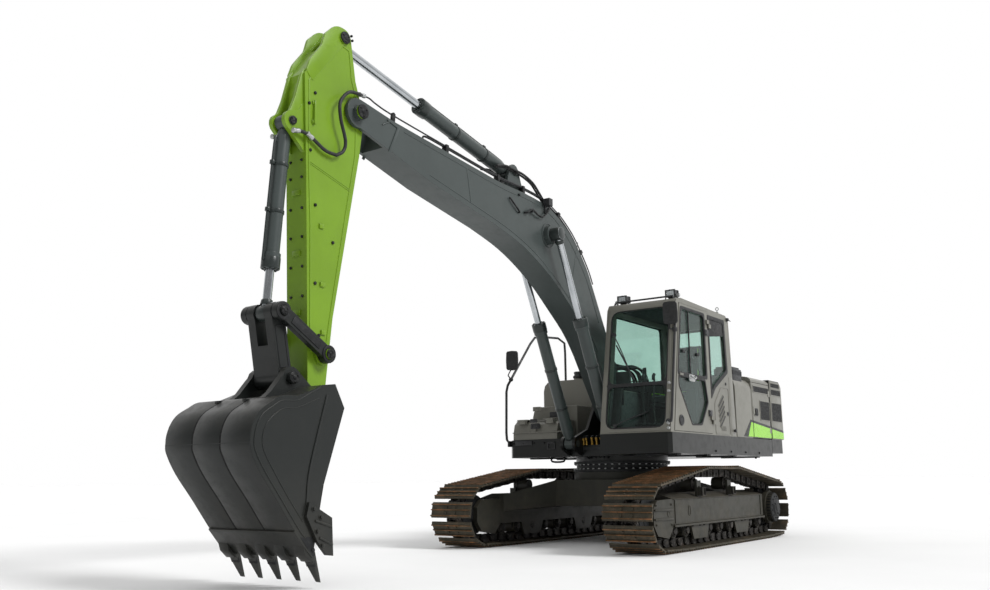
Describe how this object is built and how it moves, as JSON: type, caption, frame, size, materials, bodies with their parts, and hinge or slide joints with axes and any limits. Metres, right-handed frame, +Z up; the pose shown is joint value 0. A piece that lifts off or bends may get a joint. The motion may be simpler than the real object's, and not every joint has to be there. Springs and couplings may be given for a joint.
{
  "type": "crawler excavator",
  "caption": "Tracked excavator with swinging upper, glazed cab, bent boom, green arm, toothed bucket, hydraulic cylinders, opening doors, hood and toolbox lid",
  "frame": {"origin": "centre of the bounding box on the ground, in the machine's middle plane", "axes": "+X forwards, to the bucket; +Y to the machine's left, the cab side; +Z up"},
  "size_m": [9.659, 2.98, 4.9896],
  "materials": {
    "boom_paint": "dark grey enamel, satin",
    "arm_paint": "lime green enamel, satin",
    "body_paint": "warm light grey enamel, satin",
    "bucket_paint": "charcoal enamel, satin",
    "track_steel": "hardened steel with light rust",
    "cast_parts": "black painted castings",
    "chrome": "hard chrome plating",
    "glass": "green tinted safety glass",
    "trim": "black moulded plastic",
    "tube_black": "black powder coat",
    "seat_cloth": "dark grey seat cloth"
  },
  "bodies": {
    "undercarriage": {"carbody": "boom_paint", "swing_bearing": "cast_parts", "track_left": "track_steel", "track_right": "track_steel", "track_frame_left": "boom_paint", "track_frame_right": "boom_paint", "idler_left": "cast_parts", "idler_right": "cast_parts", "sprocket_left": "cast_parts", "sprocket_right": "cast_parts"},
    "upper": {"swing_platform": "boom_paint", "cab_shell": "body_paint", "windscreen_lower": "glass", "windscreen_upper": "glass", "quarter_window": "glass", "right_window": "glass", "rear_window": "glass", "seat_base": "trim", "seat_cushion": "seat_cloth", "seat_backrest": "seat_cloth", "console_left": "trim", "console_right": "trim", "travel_levers": "tube_black", "work_light_left": "trim", "work_light_right": "trim", "cab_handrail": "tube_black", "mirror_left": "tube_black", "service_housing_left": "body_paint", "valve_housing": "boom_paint", "exhaust": "cast_parts", "counterweight": "boom_paint", "engine_block": "cast_parts", "cooler": "cast_parts", "hydraulic_tank": "body_paint", "fuel_tank": "body_paint", "step_box": "body_paint", "toolbox": "body_paint", "handrail_mirror_right": "tube_black"},
    "cab_door": {"cab_door": "body_paint", "door_window_upper": "glass", "door_window_lower": "glass"},
    "engine_hood": {"engine_hood": "body_paint"},
    "cooler_door": {"cooler_door_left": "body_paint"},
    "pump_door": {"pump_door_right": "body_paint"},
    "toolbox_lid": {"toolbox_lid": "body_paint"},
    "boom": {"boom": "boom_paint", "boom_light": "trim"},
    "arm": {"arm": "arm_paint"},
    "bucket": {"bucket": "bucket_paint"},
    "boom_barrel_left": {"boom_cylinder_left_barrel": "boom_paint"},
    "boom_rod_left": {"boom_cylinder_left_rod": "chrome"},
    "boom_barrel_right": {"boom_cylinder_right_barrel": "boom_paint"},
    "boom_rod_right": {"boom_cylinder_right_rod": "chrome"},
    "arm_barrel": {"arm_cylinder_barrel": "boom_paint"},
    "arm_rod": {"arm_cylinder_rod": "chrome"},
    "bucket_barrel": {"bucket_cylinder_barrel": "boom_paint"},
    "bucket_rod": {"bucket_cylinder_rod": "chrome"},
    "guide_links": {"guide_link_left": "bucket_paint", "guide_link_right": "bucket_paint"},
    "bucket_link": {"bucket_link": "bucket_paint"}
  },
  "joints": [
    {"name": "swing", "type": "hinge", "parent": "undercarriage", "child": "upper", "pos_m": [-1.9295, 0, 0.968], "axis": [0, 0, 1], "continuous": true},
    {"name": "boom_raise", "type": "hinge", "parent": "upper", "child": "boom", "pos_m": [-1.7045, 0, 1.705], "axis": [0, -1, 0], "range_deg": [-68, 38]},
    {"name": "arm_curl", "type": "hinge", "parent": "boom", "child": "arm", "pos_m": [3.4255, 0, 4.195], "axis": [0, 1, 0], "range_deg": [-78, 36]},
    {"name": "bucket_curl", "type": "hinge", "parent": "arm", "child": "bucket", "pos_m": [3.8205, 0, 1.372], "axis": [0, 1, 0], "range_deg": [-28, 130]},
    {"name": "boom_cylinder_left_swing", "type": "hinge", "parent": "upper", "child": "boom_barrel_left", "pos_m": [-1.1095, 0.3, 1.26], "axis": [0, -1, 0], "range_deg": [-70.17, 39.39]},
    {"name": "boom_cylinder_left_stroke", "type": "slide", "parent": "boom_barrel_left", "child": "boom_rod_left", "axis": [0.4428, 0, 0.8966], "range_m": [-0.7802, 0.4369]},
    {"name": "boom_cylinder_right_swing", "type": "hinge", "parent": "upper", "child": "boom_barrel_right", "pos_m": [-1.1095, -0.3, 1.26], "axis": [0, -1, 0], "range_deg": [-70.17, 39.39]},
    {"name": "boom_cylinder_right_stroke", "type": "slide", "parent": "boom_barrel_right", "child": "boom_rod_right", "axis": [0.4428, 0, 0.8966], "range_m": [-0.7802, 0.4369]},
    {"name": "arm_cylinder_swing", "type": "hinge", "parent": "boom", "child": "arm_barrel", "pos_m": [0.7205, 0, 4.36], "axis": [0, 1, 0], "range_deg": [-0.89, 0.63]},
    {"name": "arm_cylinder_stroke", "type": "slide", "parent": "arm_barrel", "child": "arm_rod", "axis": [0.9831, 0, 0.1833], "range_m": [-0.8746, 0.4047]},
    {"name": "bucket_cylinder_swing", "type": "hinge", "parent": "arm", "child": "bucket_barrel", "pos_m": [4.1705, 0, 3.9], "axis": [0, 1, 0], "range_deg": [-1.16, 3.95]},
    {"name": "bucket_cylinder_stroke", "type": "slide", "parent": "bucket_barrel", "child": "bucket_rod", "axis": [0.0729, 0, -0.9973], "range_m": [-0.1913, 0.8811]},
    {"name": "guide_link_swing", "type": "hinge", "parent": "arm", "child": "guide_links", "pos_m": [3.7705, 0, 1.885], "axis": [0, 1, 0], "range_deg": [-20.1, 91.88]},
    {"name": "bucket_link_swing", "type": "hinge", "parent": "guide_links", "child": "bucket_link", "pos_m": [4.2955, 0, 2.19], "axis": [0, 1, 0], "range_deg": [-80.05, 17.56]},
    {"name": "cab_door_hinge", "type": "hinge", "parent": "upper", "child": "cab_door", "pos_m": [-1.7895, 1.385, 2.13], "axis": [0, 0, 1], "range_deg": [0, 170]},
    {"name": "cooler_door_hinge", "type": "hinge", "parent": "upper", "child": "cooler_door", "pos_m": [-3.9772, 1.359, 1.733], "axis": [0, 0, 1], "range_deg": [0, 90]},
    {"name": "pump_door_hinge", "type": "hinge", "parent": "upper", "child": "pump_door", "pos_m": [-3.9772, -1.359, 1.733], "axis": [0, 0, -1], "range_deg": [0, 90]},
    {"name": "engine_hood_hinge", "type": "hinge", "parent": "upper", "child": "engine_hood", "pos_m": [-3.9705, 0, 2.226], "axis": [0, -1, 0], "range_deg": [0, 60]},
    {"name": "toolbox_lid_hinge", "type": "hinge", "parent": "upper", "child": "toolbox_lid", "pos_m": [-1.7335, -0.95, 1.588], "axis": [0, -1, 0], "range_deg": [0, 80]}
  ],
  "couplings": [
    {"joint": "boom_cylinder_left_swing", "follows": "boom_raise", "ratio": 1.0261},
    {"joint": "boom_cylinder_left_stroke", "follows": "boom_raise", "m_per_rad": 0.65572},
    {"joint": "boom_cylinder_right_swing", "follows": "boom_raise", "ratio": 1.0261},
    {"joint": "boom_cylinder_right_stroke", "follows": "boom_raise", "m_per_rad": 0.65572},
    {"joint": "arm_cylinder_swing", "follows": "arm_curl", "ratio": 0.0063},
    {"joint": "arm_cylinder_stroke", "follows": "arm_curl", "m_per_rad": 0.64098},
    {"joint": "bucket_cylinder_swing", "follows": "bucket_curl", "ratio": 0.0273},
    {"joint": "bucket_cylinder_stroke", "follows": "bucket_curl", "m_per_rad": 0.38744},
    {"joint": "guide_link_swing", "follows": "bucket_curl", "ratio": 0.7037},
    {"joint": "bucket_link_swing", "follows": "bucket_curl", "ratio": -0.6127}
  ]
}
